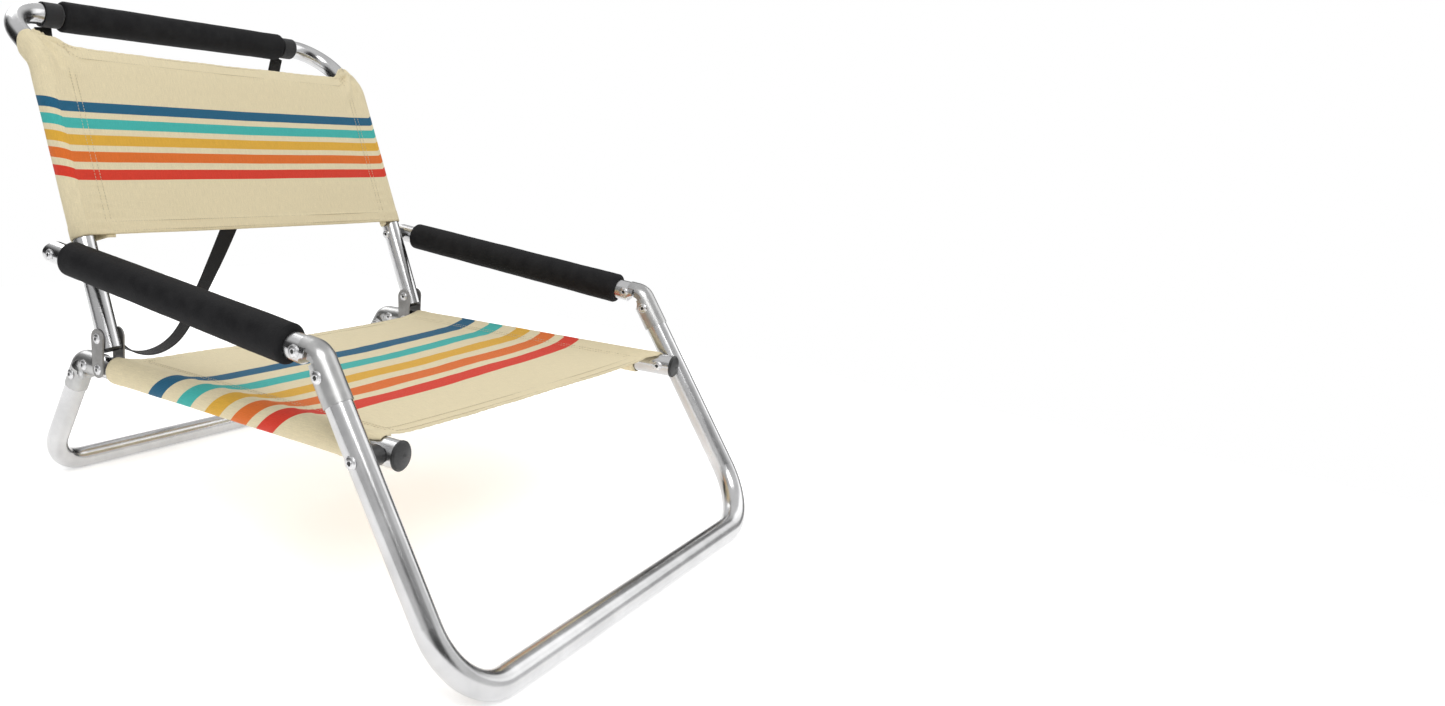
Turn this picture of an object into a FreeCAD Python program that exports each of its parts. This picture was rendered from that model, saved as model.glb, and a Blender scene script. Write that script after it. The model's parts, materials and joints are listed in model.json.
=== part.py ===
import FreeCAD, Part
import math
import os
from FreeCAD import Vector, Placement, Rotation

# Folding camp chair: aluminium tube frame, fabric seat and back slings, foam grips and a shoulder strap.
# Frame: +X to the sitter's left, -Y is the way the sitter faces, +Z up, floor at z = 0.
# The origin is on the floor under the middle of the chair.

doc = FreeCAD.newDocument("folding_camp_chair")

# ---------------------------------------------------------------- driving dimensions (mm, degrees)
SIZES = {
    "tube_r": 12.5,             # every frame tube is 25 mm outside
    "bore_r": 11.0,             # 1.5 mm wall
    "inner_half": 272.0,        # half the spacing of the seat rails, back tubes and rear legs
    "outer_half": 306.0,        # half the spacing of the front legs and arms
    "seat_pivot_y": -254.8,     # front leg pivot on the seat rail
    "seat_pivot_z": 179.2,
    "back_pivot_y": 135.8,      # backrest pivot in the hinge plates
    "back_pivot_z": 194.3,
    "arm_pivot_y": 181.1,       # arm pivot on the back tube
    "arm_pivot_z": 280.8,
    "elbow_y": -201.4,          # where arm axis and front leg axis cross
    "elbow_z": 254.4,
    "rail_tilt": 2.8,           # seat rail rises this much towards the front
    "rail_front": 13.8,         # rail end, in front of the leg pivot
    "rear_corner": 433.0,       # rear corner of the seat frame, behind the leg pivot
    "plate_distance": 387.4,    # fixed rivet of the hinge plates, behind the leg pivot
    "rear_leg_lean": 64.5,      # rear leg's angle below the horizontal
    "back_lean": 63.8,          # back tube's angle above the horizontal
    "back_straight": 325.0,     # back tube from its pivot to the corner of its upper bend
    "back_foot": 13.2,          # back tube below its pivot
    "top_bar_y": 367.3,         # handle bar, bent rearward out of the plane of the back
    "top_bar_z": 541.1,
    "front_bend": 65.0,         # bend radii at the tube's axis
    "rear_bend": 50.0,
    "shoulder_bend": 52.0,
    "kink_bend": 45.0,
    "grip_r": 18.5,             # foam grips
    "cap_r": 13.2,
    "hood_r": 13.6,             # outside of the knuckle sleeves
    "hood_width": 18.0,         # web of a knuckle, across the chair
    "elbow_sleeve": 36.0,
    "rear_sleeve": 27.0,
    "lip_length": 9.0,          # half shell over the top of the arm
    "lip_r": 12.85,
    "flange": 2.0,
    "elbow_relief": 8.5,        # round clearance about a knuckle's hinge axis
    "arm_relief": 9.5,
    "hinge_relief": 5.8,
    "hinge_boss_r": 5.5,
    "hinge_pin_r": 2.5,
    "lug_half": 7.2,
    "cheek_low": 7.5,
    "cheek_high": 10.5,
    "rivet_r": 3.0,
    "rivet_head_r": 5.4,
    "rivet_head_rise": 1.9,
    "run_gap": 0.05,            # radial clearance of a pivot
    "knuckle_gap": 1.6,         # degrees between a hood and the tube that swings away from it
    "plate_thick": 2.0,
    "plate_top_r": 10.5,
    "plate_foot_r": 9.2,
    "sleeve_in_r": 12.65,       # fabric sleeves on the tubes
    "sleeve_out_r": 13.85,
    "fabric_thick": 1.2,
    "seat_panel_rise": 3.0,     # the taut panels' edges, above the tubes' axes
    "back_panel_rise": 13.15,
    "seat_sag": 3.0,
    "back_sag": 4.0,
    "seat_fabric_rear": 374.0,  # sling's rear edge, behind the leg pivot
    "seat_panel_front": 12.0,   # panel's front hem, behind the leg pivot
    "seat_sleeve_open": 26.0,   # sleeves are open below, from here to their front ends
    "back_fabric_low": 112.0,   # sling's lower and upper edges, along the back tube from its pivot
    "back_fabric_high": 310.0,
    "headrest_half": 190.0,
    "wrap_gap": 2.4,            # bare bar between the foam and each wrap
    "wrap_width": 26.0,
    "wrap_r": 15.0,
    "arm_grip_from": 31.0,      # arm's foam, measured from the elbow
    "arm_grip_to": 362.5,
    "spacer_r": 9.0,
    "strap_width": 24.0,
    "strap_thick": 2.0,
}

sheet = doc.addObject("Spreadsheet::Sheet", "dims")
for row, (alias, value) in enumerate(SIZES.items(), start=1):
    sheet.set("A%d" % row, alias)
    sheet.set("B%d" % row, str(value))
    sheet.setAlias("B%d" % row, alias)
doc.recompute()


def dim(alias):
    """A driving dimension, read from the sheet."""
    return float(sheet.get(alias))


# ---------------------------------------------------------------- side-view points (y, z)
def polar(angle):
    """Unit vector in the side plane, angle in degrees from +Y towards +Z."""
    return Vector(0, math.cos(math.radians(angle)), math.sin(math.radians(angle)))


def angle_of(vector):
    return math.degrees(math.atan2(vector.z, vector.y))


def side(y, z, x=0.0):
    return Vector(x, y, z)


def inner_corner(corner, first, second, radius):
    """Hinge axis of a knuckle: the inside corner of two tubes that meet at the corner."""
    bisector = (first + second).normalize()
    half = 0.5 * first.getAngle(second)
    return corner + bisector * (radius / math.sin(half))


R = dim("tube_r")
LEG_PIVOT = side(dim("seat_pivot_y"), dim("seat_pivot_z"))
BACK_PIVOT = side(dim("back_pivot_y"), dim("back_pivot_z"))
ARM_PIVOT = side(dim("arm_pivot_y"), dim("arm_pivot_z"))
ELBOW = side(dim("elbow_y"), dim("elbow_z"))
RAIL_FORWARD = polar(180 - dim("rail_tilt"))
RAIL_UP = polar(90 - dim("rail_tilt"))
REAR_CORNER = LEG_PIVOT - RAIL_FORWARD * dim("rear_corner")
PLATE_RIVET = LEG_PIVOT - RAIL_FORWARD * dim("plate_distance")
LEG_DOWN = (LEG_PIVOT - ELBOW).normalize()
ARM_REAR = (ARM_PIVOT - ELBOW).normalize()
REAR_DOWN = polar(-dim("rear_leg_lean"))
BACK_UP = polar(dim("back_lean"))
BACK_FRONT = polar(dim("back_lean") + 90)
TOP_BAR = side(dim("top_bar_y"), dim("top_bar_z"))
FRONT_BAR = ELBOW + LEG_DOWN * ((ELBOW.z - R) / -LEG_DOWN.z)
REAR_BAR = REAR_CORNER + REAR_DOWN * ((REAR_CORNER.z - R) / -REAR_DOWN.z)
ELBOW_HINGE = inner_corner(ELBOW, LEG_DOWN, ARM_REAR, R)
REAR_HINGE = inner_corner(REAR_CORNER, RAIL_FORWARD, REAR_DOWN, R)
ELBOW_SETBACK = (ELBOW_HINGE - ELBOW).dot(ARM_REAR)
REAR_SETBACK = (REAR_HINGE - REAR_CORNER).dot(REAR_DOWN)
REAR_RAIL_RIVET = REAR_CORNER + RAIL_FORWARD * 17
REAR_LEG_RIVET = REAR_CORNER + REAR_DOWN * 17
LEG_RIVET = ELBOW + LEG_DOWN * 18
ARM_RIVET = ELBOW + ARM_REAR * 18
PLATE_OFFSET = R + 0.3
INNER = dim("inner_half")
OUTER = dim("outer_half")
GRIP_FROM = dim("arm_grip_from")
GRIP_TO = dim("arm_grip_to")
HEAD_HALF = dim("headrest_half")
MIRROR_SIDES = (("left", 1), ("right", -1))

parts = []


# ---------------------------------------------------------------- building blocks
def name_part(obj, label):
    """Make an object one of the chair's nodes."""
    obj.Label = label
    parts.append(obj)
    return obj


def bind(obj, **expressions):
    for prop, expression in expressions.items():
        obj.setExpression(prop, expression)
    return obj


def along(start, direction, across=None):
    """Placement with local +Z along direction, and local +X along the second direction when given."""
    if across is None:
        return Placement(start, Rotation(Vector(0, 0, 1), direction))
    return Placement(start, Rotation(across, Vector(0, 0, 0), direction, "ZXY"))


def cylinder(radius, length, start, direction):
    """Round bar; radius and length are expressions on the sheet or plain numbers."""
    obj = doc.addObject("Part::Cylinder", "bar")
    bind(obj, Radius=str(radius), Height=str(length))
    obj.Placement = along(start, direction)
    return obj


def fuse(*objects):
    obj = doc.addObject("Part::MultiFuse", "joined")
    obj.Shapes = list(objects)
    return obj


def group(*objects):
    """Separate solids that share one node."""
    obj = doc.addObject("Part::Compound", "group")
    obj.Links = list(objects)
    return obj


def cut(base, *tools):
    obj = doc.addObject("Part::Cut", "cut")
    obj.Base = base
    obj.Tool = tools[0] if len(tools) == 1 else fuse(*tools)
    return obj


def mirrored(obj):
    """The same piece on the other side of the chair."""
    copy = doc.addObject("Part::Mirroring", "mirrored")
    copy.Source = obj
    copy.Normal = Vector(1, 0, 0)
    copy.Base = Vector(0, 0, 0)
    return copy


def tube(length, start, direction, outer="dims.tube_r", inner="dims.bore_r"):
    outside = cylinder(outer, length, start, direction)
    inside = cylinder(inner, "%s + 2" % length, start - direction, direction)
    return cut(outside, inside)


def block(start, outward, direction, width, depth, length):
    """Box centred across the chair: depth along outward, length along direction."""
    box = doc.addObject("Part::Box", "block")
    bind(box, Length=str(width), Width=str(depth), Height=str(length))
    box.recompute()
    turn = Rotation(Vector(1, 0, 0), outward, direction, "ZYX")
    box.Placement = Placement(start - turn.multVec(Vector(box.Length.Value / 2, 0, 0)), turn)
    return box


def cross_hole(centre, half_width, radius="dims.rivet_r + dims.run_gap", x=0.0):
    """Drill along X, through both walls of a tube."""
    start = Vector(x - half_width, centre.y, centre.z)
    return cylinder(radius, 2 * half_width, start, Vector(1, 0, 0))


def relief(hinge, radius, x, half_width=20):
    """Round clearance about the hinge axis."""
    return cross_hole(hinge, half_width, radius, x)


def rounded_wire(points, radii):
    """Straight runs joined by tangent arcs; one radius for each inner point."""
    edges = []
    start = points[0]
    for before, corner, after, radius in zip(points, points[1:], points[2:], radii):
        into = (corner - before).normalize()
        out = (after - corner).normalize()
        turn = into.getAngle(out)
        tangent = radius * math.tan(turn / 2)
        first = corner - into * tangent
        last = corner + out * tangent
        middle_direction = (out - into).normalize()
        middle = corner + middle_direction * (radius / math.cos(turn / 2) - radius)
        edges.append(Part.LineSegment(start, first).toShape())
        edges.append(Part.Arc(first, middle, last).toShape())
        start = last
    edges.append(Part.LineSegment(start, points[-1]).toShape())
    return Part.Wire(edges)


def sweep_circle(spine, radius):
    """A round bar along a wire, its radius bound to the sheet."""
    first = spine.Shape.OrderedEdges[0]
    start = first.valueAt(first.FirstParameter)
    heading = first.tangentAt(first.FirstParameter)
    circle = doc.addObject("Part::Circle", "section")
    bind(circle, Radius=radius)
    circle.Placement = along(start, heading)
    bar = doc.addObject("Part::Sweep", "swept")
    bar.Sections = [circle]
    bar.Spine = (spine, ["Edge%d" % (n + 1) for n in range(len(spine.Shape.Edges))])
    bar.Solid = True
    bar.Frenet = False
    return bar


def bent_tube(points, radii):
    """A bent frame tube with its bore."""
    spine = doc.addObject("Part::Feature", "axis")
    spine.Shape = rounded_wire(points, radii)
    doc.recompute()
    return cut(sweep_circle(spine, "dims.tube_r"), sweep_circle(spine, "dims.bore_r"))


def rivet(centre, x_low, x_high, low_head=True):
    """Shank along X with a domed head outside each end."""
    pieces = [cylinder("dims.rivet_r", x_high - x_low, Vector(x_low, centre.y, centre.z), Vector(1, 0, 0))]
    ends = [(x_high, Vector(1, 0, 0))]
    if low_head:
        ends.append((x_low, Vector(-1, 0, 0)))
    for x, outward in ends:
        dome = doc.addObject("Part::Ellipsoid", "head")
        bind(dome, Radius1="dims.rivet_head_rise", Radius2="dims.rivet_head_r", Radius3="dims.rivet_head_r")
        dome.Angle1 = 0
        dome.Angle2 = 90
        dome.Placement = along(Vector(x, centre.y, centre.z), outward)
        pieces.append(dome)
    return fuse(*pieces)


def rivet_pair(label, centre, x_low, x_high):
    right = rivet(centre, x_low, x_high)
    return name_part(group(right, mirrored(right)), label)


def ring_arc(start, end, radius):
    """Arc about the tube's centre in a hood's section, counter-clockwise between two corners."""
    angles = [math.atan2(p.y, p.x - R) for p in (start, end)]
    return Part.ArcOfCircle(Part.Circle(Vector(R, 0, 0), Vector(0, 0, 1), radius), *sorted(angles))


def knuckle_section(body, room):
    """Cross-section of a hood, web and rim: distance from the hinge along X, chair width along Y."""
    plane = next(f for f in body.Origin.OriginFeatures if f.Role == "XZ_Plane")
    sketch = body.newObject("Sketcher::SketchObject", "section")
    sketch.AttachmentSupport = [(plane, "")]
    sketch.MapMode = "FlatFace"
    outer = dim("hood_r")
    inner = outer - dim("flange")
    web = dim("hood_width") / 2
    rim_low = R + 3.5
    web_end = R + math.sqrt(inner ** 2 - web ** 2)
    rim_out = math.sqrt(outer ** 2 - (rim_low - R) ** 2)
    rim_in = math.sqrt(inner ** 2 - (rim_low - R) ** 2)
    corners = [(room, -web), (web_end, -web), (rim_low, -rim_in), (rim_low, -rim_out),
               (rim_low, rim_out), (rim_low, rim_in), (web_end, web), (room, web)]
    c = [Vector(along_x, along_y, 0) for along_x, along_y in corners]
    outline = [Part.LineSegment(c[0], c[1]), ring_arc(c[1], c[2], inner), Part.LineSegment(c[2], c[3]),
               ring_arc(c[3], c[4], outer), Part.LineSegment(c[4], c[5]), ring_arc(c[5], c[6], inner),
               Part.LineSegment(c[6], c[7]), Part.LineSegment(c[7], c[0])]
    sketch.addGeometry(outline, False)
    return sketch


def knuckle_hood(hinge, first_angle, sweep, room, x):
    """Curved hood of a knuckle, turned about the hinge axis between two tube ends."""
    body = doc.addObject("PartDesign::Body", "hood")
    sketch = knuckle_section(body, room)
    turn = body.newObject("PartDesign::Revolution", "turned")
    turn.Profile = sketch
    turn.ReferenceAxis = (sketch, ["V_Axis"])
    turn.Angle = sweep
    turn.Reversed = False
    start = polar(first_angle)
    body.Placement = Placement(Vector(x, hinge.y, hinge.z),
                               Rotation(start, Vector(0, 0, 0), Vector(1, 0, 0), "ZXY"))
    return body


# ---------------------------------------------------------------- seat frame
def rail(label, x):
    """Straight seat rail with its rivet holes; its rear end stops at the knuckle's flange."""
    length = "dims.rail_front + dims.rear_corner - %s - dims.flange" % REAR_SETBACK
    front = LEG_PIVOT + RAIL_FORWARD * dim("rail_front") + Vector(x, 0, 0)
    holes = [cross_hole(centre, 20, x=x) for centre in (LEG_PIVOT, PLATE_RIVET, REAR_RAIL_RIVET)]
    holes.append(relief(REAR_HINGE, "dims.hinge_relief", x))
    return name_part(cut(tube(length, front, -RAIL_FORWARD), *holes), label)


def domed_cap(start, direction, radius, collar, rise, plug_length):
    """Black end cap: plug in the bore, collar and low dome."""
    body = doc.addObject("PartDesign::Body", "cap")
    plane = next(f for f in body.Origin.OriginFeatures if f.Role == "XZ_Plane")
    sketch = body.newObject("Sketcher::SketchObject", "profile")
    sketch.AttachmentSupport = [(plane, "")]
    sketch.MapMode = "FlatFace"
    bore = dim("bore_r") - 0.05
    crown = Vector(0, collar + rise, 0)
    rim = Vector(radius - 1.5, collar + 0.8, 0)
    ball = (rim.x ** 2 + (crown.y - rim.y) ** 2) / (2 * (crown.y - rim.y))
    halfway = math.asin(rim.x / ball) / 2
    shoulder = Vector(ball * math.sin(halfway), crown.y - ball * (1 - math.cos(halfway)), 0)
    corners = [crown, Vector(0, -plug_length, 0), Vector(bore, -plug_length, 0), Vector(bore, 0, 0),
               Vector(radius, 0, 0), Vector(radius, collar - 0.6, 0), rim]
    outline = [Part.LineSegment(a, b) for a, b in zip(corners, corners[1:])]
    outline.append(Part.Arc(rim, shoulder, crown))
    sketch.addGeometry(outline, False)
    turn = body.newObject("PartDesign::Revolution", "turned")
    turn.Profile = sketch
    turn.ReferenceAxis = (sketch, ["V_Axis"])
    turn.Angle = 360
    body.Placement = along(start, direction)
    return body


def ear(x_low):
    """Flat ear of a hinge plate, round at both pivots, with the two rivet holes."""
    shift = Vector(x_low, 0, 0)
    top = cylinder("dims.plate_top_r", "dims.plate_thick", BACK_PIVOT + shift, Vector(1, 0, 0))
    foot = cylinder("dims.plate_foot_r", "dims.plate_thick", PLATE_RIVET + shift, Vector(1, 0, 0))
    rise = BACK_PIVOT - PLATE_RIVET
    web = doc.addObject("Part::Feature", "web")
    across = rise.cross(Vector(1, 0, 0)).normalize()
    corners = [PLATE_RIVET - across * dim("plate_foot_r"), PLATE_RIVET + across * dim("plate_foot_r"),
               BACK_PIVOT + across * dim("plate_top_r"), BACK_PIVOT - across * dim("plate_top_r")]
    face = Part.Face(Part.makePolygon(corners + corners[:1]))
    web.Shape = face.extrude(Vector(dim("plate_thick"), 0, 0))
    web.Placement = Placement(shift, Rotation())
    holes = [cross_hole(centre, 5, x=x_low) for centre in (BACK_PIVOT, PLATE_RIVET)]
    return cut(fuse(top, foot, web), *holes)


def hinge_plates(label, x):
    outer = ear(x + PLATE_OFFSET)
    inner = ear(x - PLATE_OFFSET - dim("plate_thick"))
    return name_part(group(outer, inner), label)


# ---------------------------------------------------------------- knuckles
def sleeve_with_flange(end, direction, length, hinge, x):
    """Sleeve over a tube's end, closed by a flange and opened along the side that faces the hinge."""
    start = end + Vector(x, 0, 0)
    shell = tube(length, start + direction * dim("flange"), direction, "dims.hood_r", "dims.tube_r + 0.05")
    flange = cylinder("dims.hood_r", "dims.flange", start, direction)
    inward = (hinge - end).normalize()
    slot = block(start + inward * (R + 0.15) - direction * 4, inward, direction, 24, 4, 50)
    return cut(fuse(shell, flange), slot)


def elbow_hood(label, x):
    """Front knuckle: hood, sleeve on the leg and a lip that covers the top of the arm."""
    leg_end = ELBOW + LEG_DOWN * ELBOW_SETBACK
    arm_end = ELBOW + ARM_REAR * ELBOW_SETBACK
    arm_top = angle_of(ARM_REAR) + 90
    leg_top = angle_of(LEG_DOWN) % 360 - 90
    hood = knuckle_hood(ELBOW_HINGE, arm_top + dim("knuckle_gap"),
                        leg_top - arm_top - dim("knuckle_gap"), dim("elbow_relief"), x)
    sleeve = sleeve_with_flange(leg_end, LEG_DOWN, "dims.elbow_sleeve", ELBOW_HINGE, x)
    rear = arm_end + Vector(x, 0, 0) - ARM_REAR * 0.8
    shell = tube("dims.lip_length + 0.8", rear, ARM_REAR, "dims.hood_r", "dims.lip_r")
    down = polar(arm_top + 180)
    lip = cut(shell, block(rear - ARM_REAR * 2 - down * 6, down, ARM_REAR, 40, 20, 20))
    rivet_hole = cross_hole(LEG_RIVET, 20, x=x)
    solid = cut(fuse(hood, sleeve, lip), relief(ELBOW_HINGE, "dims.elbow_relief", x), rivet_hole)
    return name_part(solid, label)


def rear_hood(label, x):
    """Rear knuckle on the seat rail: hood, sleeve on the rail and the two cheeks of the hinge."""
    rail_end = REAR_CORNER + RAIL_FORWARD * REAR_SETBACK
    rail_top = angle_of(RAIL_UP)
    leg_back = angle_of(REAR_DOWN) + 90
    hood = knuckle_hood(REAR_HINGE, leg_back + dim("knuckle_gap"),
                        rail_top - leg_back - dim("knuckle_gap"), dim("hinge_relief"), x)
    sleeve = sleeve_with_flange(rail_end, RAIL_FORWARD, "dims.rear_sleeve - dims.flange", REAR_HINGE, x)
    shell = cut(fuse(hood, sleeve), relief(REAR_HINGE, "dims.hinge_relief", x),
                cross_hole(REAR_RAIL_RIVET, 20, x=x))
    cheeks = []
    outward = polar((rail_top + leg_back) / 2)
    beside = polar((rail_top + leg_back) / 2 + 90)
    thick = dim("cheek_high") - dim("cheek_low")
    for x_low in (x + dim("cheek_low"), x - dim("cheek_high")):
        boss = cylinder("dims.hinge_boss_r", thick, REAR_HINGE + Vector(x_low, 0, 0), Vector(1, 0, 0))
        middle = REAR_HINGE + Vector(x_low + thick / 2, 0, 0)
        bridge = block(middle - beside * 2.4, beside, outward, thick, 4.8, 11)
        cheeks += [boss, bridge]
    solid = cut(fuse(shell, *cheeks), cross_hole(REAR_HINGE, 20, "dims.hinge_pin_r + 0.02", x))
    return name_part(solid, label)


def rear_leg_end(label, x):
    """Rear leg's half of the knuckle: sleeve, plug in the bore and the lug between the cheeks."""
    leg_end = REAR_CORNER + REAR_DOWN * REAR_SETBACK
    sleeve = sleeve_with_flange(leg_end, REAR_DOWN, "dims.rear_sleeve - dims.flange", REAR_HINGE, x)
    plug = cylinder("dims.bore_r - 0.02", "14", leg_end + Vector(x, 0, 0), REAR_DOWN)
    room = [cylinder("dims.hinge_relief", 20, REAR_HINGE + Vector(x + sign * dim("lug_half"), 0, 0),
                     Vector(sign, 0, 0)) for sign in (1, -1)]
    shell = cut(fuse(sleeve, plug), *room)
    lug = cylinder("dims.hinge_boss_r", "2 * dims.lug_half", REAR_HINGE + Vector(x - dim("lug_half"), 0, 0),
                   Vector(1, 0, 0))
    solid = cut(fuse(shell, lug), cross_hole(REAR_HINGE, 20, "dims.hinge_pin_r + dims.run_gap", x),
                cross_hole(REAR_LEG_RIVET, 20, x=x))
    return name_part(solid, label)


# ---------------------------------------------------------------- seat body
for side_name, sign in MIRROR_SIDES:
    rail("seat_rail_" + side_name, sign * INNER)
    hinge_plates("hinge_plates_" + side_name, sign * INNER)
    rear_hood("rear_hood_" + side_name, sign * INNER)

cap = domed_cap(LEG_PIVOT + RAIL_FORWARD * dim("rail_front") + Vector(INNER, 0, 0), RAIL_FORWARD,
                dim("cap_r"), 2.2, 2.6, 7.0)
name_part(group(cap, mirrored(cap)), "rail_end_caps")

plate_face = PLATE_OFFSET + dim("plate_thick")
rivet_pair("back_pivot_rivets", BACK_PIVOT, INNER - plate_face, INNER + plate_face)
rivet_pair("plate_rivets", PLATE_RIVET, INNER - plate_face, INNER + plate_face)
rivet_pair("rear_hood_rivets", REAR_RAIL_RIVET, INNER - dim("hood_r"), INNER + dim("hood_r"))
rivet_pair("front_leg_pivot_rivets", LEG_PIVOT, INNER - R, OUTER + R + 0.3)
pin = cylinder("dims.hinge_pin_r", "2 * dims.cheek_high",
               REAR_HINGE + Vector(INNER - dim("cheek_high"), 0, 0), Vector(1, 0, 0))
name_part(group(pin, mirrored(pin)), "rear_hinge_pins")

# ---------------------------------------------------------------- rear legs body
leg_top = REAR_CORNER + REAR_DOWN * (REAR_SETBACK + dim("flange"))
rear_u = bent_tube([leg_top - Vector(INNER, 0, 0), REAR_BAR - Vector(INNER, 0, 0),
                    REAR_BAR + Vector(INNER, 0, 0), leg_top + Vector(INNER, 0, 0)],
                   [dim("rear_bend")] * 2)
cuts = [cross_hole(REAR_LEG_RIVET, 20, x=sign * INNER) for _, sign in MIRROR_SIDES]
cuts += [relief(REAR_HINGE, "dims.hinge_relief", sign * INNER) for _, sign in MIRROR_SIDES]
name_part(cut(rear_u, *cuts), "rear_leg_frame")
for side_name, sign in MIRROR_SIDES:
    rear_leg_end("rear_sleeve_" + side_name, sign * INNER)
rivet_pair("rear_sleeve_rivets", REAR_LEG_RIVET, INNER - dim("hood_r"), INNER + dim("hood_r"))

# ---------------------------------------------------------------- front legs body
leg_top = ELBOW + LEG_DOWN * (ELBOW_SETBACK + dim("flange"))
front_u = bent_tube([leg_top - Vector(OUTER, 0, 0), FRONT_BAR - Vector(OUTER, 0, 0),
                     FRONT_BAR + Vector(OUTER, 0, 0), leg_top + Vector(OUTER, 0, 0)],
                    [dim("front_bend")] * 2)
cuts = []
for _, sign in MIRROR_SIDES:
    cuts += [cross_hole(LEG_PIVOT, 20, x=sign * OUTER), cross_hole(LEG_RIVET, 20, x=sign * OUTER),
             relief(ELBOW_HINGE, "dims.elbow_relief", sign * OUTER)]
name_part(cut(front_u, *cuts), "front_leg_frame")
for side_name, sign in MIRROR_SIDES:
    elbow_hood("elbow_hood_" + side_name, sign * OUTER)
rivet_pair("elbow_rivets", LEG_RIVET, OUTER - dim("hood_r"), OUTER + dim("hood_r"))


def spacer(centre, radius, tube_direction):
    """Black spacer between an inner and an outer tube, hollowed to sit on the outer one."""
    low = INNER + R + 0.3
    disc = cylinder(radius, OUTER - low - 6, centre + Vector(low, 0, 0), Vector(1, 0, 0))
    seat = cylinder("dims.tube_r + 0.05", 60, centre + Vector(OUTER, 0, 0) - tube_direction * 30,
                    tube_direction)
    return cut(disc, seat, cross_hole(centre, 30, x=OUTER))


disc = spacer(LEG_PIVOT, "dims.spacer_r", LEG_DOWN)
name_part(group(disc, mirrored(disc)), "leg_spacers")

# ---------------------------------------------------------------- arms
def foam(start, direction, length, radius, round_off):
    """Foam sleeve with rounded ends."""
    body = doc.addObject("PartDesign::Body", "foam")
    plane = next(f for f in body.Origin.OriginFeatures if f.Role == "XZ_Plane")
    sketch = body.newObject("Sketcher::SketchObject", "profile")
    sketch.AttachmentSupport = [(plane, "")]
    sketch.MapMode = "FlatFace"
    hole = R + 0.05
    low = Vector(radius - round_off, round_off, 0)
    high = Vector(radius - round_off, length - round_off, 0)
    diagonal = round_off * math.sqrt(0.5)
    corners = [Vector(hole, 0, 0), Vector(radius - round_off, 0, 0), Vector(radius, round_off, 0),
               Vector(radius, length - round_off, 0), Vector(radius - round_off, length, 0),
               Vector(hole, length, 0)]
    outline = [Part.LineSegment(corners[0], corners[1]),
               Part.Arc(corners[1], low + Vector(diagonal, -diagonal, 0), corners[2]),
               Part.LineSegment(corners[2], corners[3]),
               Part.Arc(corners[3], high + Vector(diagonal, diagonal, 0), corners[4]),
               Part.LineSegment(corners[4], corners[5]), Part.LineSegment(corners[5], corners[0])]
    sketch.addGeometry(outline, False)
    turn = body.newObject("PartDesign::Revolution", "turned")
    turn.Profile = sketch
    turn.ReferenceAxis = (sketch, ["V_Axis"])
    turn.Angle = 360
    body.Placement = along(start, direction)
    return body


def arm(side_name, x):
    """Arm tube with its grip, elbow insert and rivets."""
    shift = Vector(x, 0, 0)
    end = ELBOW + ARM_REAR * ELBOW_SETBACK + shift
    recess = 1.5
    reach = (ARM_PIVOT - ELBOW).Length - ELBOW_SETBACK - recess + dim("cap_r") + 4
    bar = tube(reach, end + ARM_REAR * recess, ARM_REAR)
    round_end = cylinder("dims.cap_r + 0.3", "60", ARM_PIVOT + Vector(x - 30, 0, 0), Vector(1, 0, 0))
    top = polar(angle_of(ARM_REAR) + 90)
    rear_trim = cut(block(ARM_PIVOT + shift - top * 30, top, ARM_REAR, 60, 60, 40), round_end)
    name_part(cut(bar, rear_trim, relief(ELBOW_HINGE, "dims.arm_relief", x), cross_hole(ARM_RIVET, 20, x=x),
                  cross_hole(ARM_PIVOT, 20, x=x)), "arm_tube_" + side_name)
    plug = cylinder("dims.bore_r - 0.02", 20, end + ARM_REAR * (recess + 2), ARM_REAR)
    name_part(cut(plug, relief(ELBOW_HINGE, "dims.arm_relief", x), cross_hole(ARM_RIVET, 20, x=x)),
              "arm_insert_" + side_name)
    name_part(foam(ELBOW + ARM_REAR * GRIP_FROM + shift, ARM_REAR, GRIP_TO - GRIP_FROM, dim("grip_r"), 4.0),
              "arm_grip_" + side_name)
    name_part(rivet(ARM_RIVET, x - R, x + R), "arm_rivet_" + side_name)
    disc = spacer(ARM_PIVOT, "dims.spacer_r - 1", ARM_REAR)
    name_part(disc if x > 0 else mirrored(disc), "arm_spacer_" + side_name)


for side_name, sign in MIRROR_SIDES:
    arm(side_name, sign * OUTER)

# ---------------------------------------------------------------- backrest body
foot = BACK_PIVOT - BACK_UP * dim("back_foot")
kink = BACK_PIVOT + BACK_UP * dim("back_straight")
route = [point + Vector(x, 0, 0) for x, point in
         ((-INNER, foot), (-INNER, kink), (-INNER, TOP_BAR), (INNER, TOP_BAR), (INNER, kink), (INNER, foot))]
back_u = bent_tube(route, [dim("kink_bend"), dim("shoulder_bend"), dim("shoulder_bend"), dim("kink_bend")])
cuts = [cross_hole(centre, 20, x=sign * INNER) for _, sign in MIRROR_SIDES
        for centre in (BACK_PIVOT, ARM_PIVOT)]
name_part(cut(back_u, *cuts), "back_frame")
plug = domed_cap(foot + Vector(INNER, 0, 0), -BACK_UP, R - 0.2, 1.2, 1.6, 7.0)
name_part(group(plug, mirrored(plug)), "back_tube_plugs")
rivet_pair("arm_pivot_rivets", ARM_PIVOT, INNER - R, OUTER + R + 0.3)

name_part(foam(TOP_BAR - Vector(HEAD_HALF, 0, 0), Vector(1, 0, 0), 2 * HEAD_HALF, dim("grip_r"), 3.0),
          "headrest_grip")
wrap_from = HEAD_HALF + dim("wrap_gap")
for side_name, sign in MIRROR_SIDES:
    wrap = tube("dims.wrap_width", TOP_BAR + Vector(sign * wrap_from, 0, 0), Vector(sign, 0, 0),
                "dims.wrap_r", "dims.tube_r + 0.05")
    name_part(wrap, "strap_wrap_" + side_name)


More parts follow.
